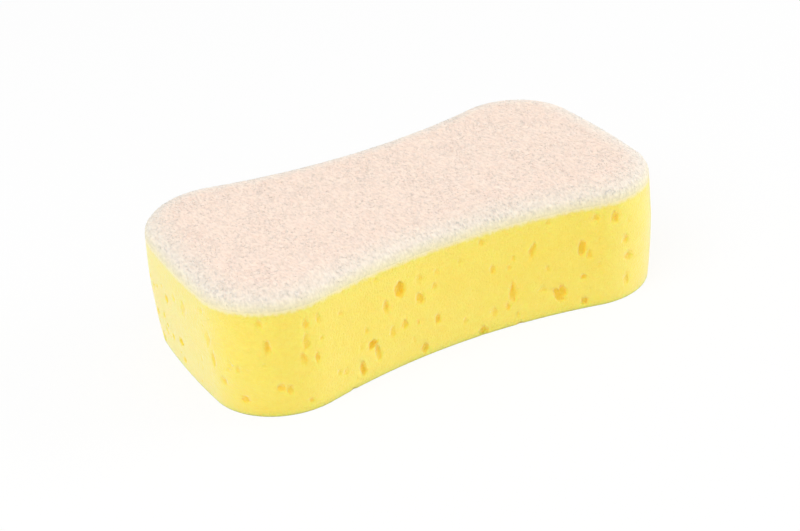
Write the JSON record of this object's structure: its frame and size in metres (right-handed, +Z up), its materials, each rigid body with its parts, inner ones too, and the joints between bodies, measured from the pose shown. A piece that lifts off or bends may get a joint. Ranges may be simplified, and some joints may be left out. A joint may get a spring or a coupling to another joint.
{
  "type": "cleaning sponge",
  "caption": "Hourglass cleaning sponge: a thick block of open-pored foam with a thin fibre scouring pad bonded to its top face.",
  "frame": {"origin": "middle of the underside, on the surface that the sponge lies on", "axes": "+X along the length, +Y across the width, +Z up from the foam to the scouring pad"},
  "size_m": [0.15, 0.081, 0.0395],
  "materials": {
    "foam": "soft open-celled polyurethane foam, bright yellow, cut face with open pores",
    "scouring_fibre": "matted non-woven fibre, pale pinkish cream on the face and whiter round the edge"
  },
  "bodies": {
    "root": {"foam_block": "foam", "scouring_pad": "scouring_fibre"}
  },
  "joints": []
}
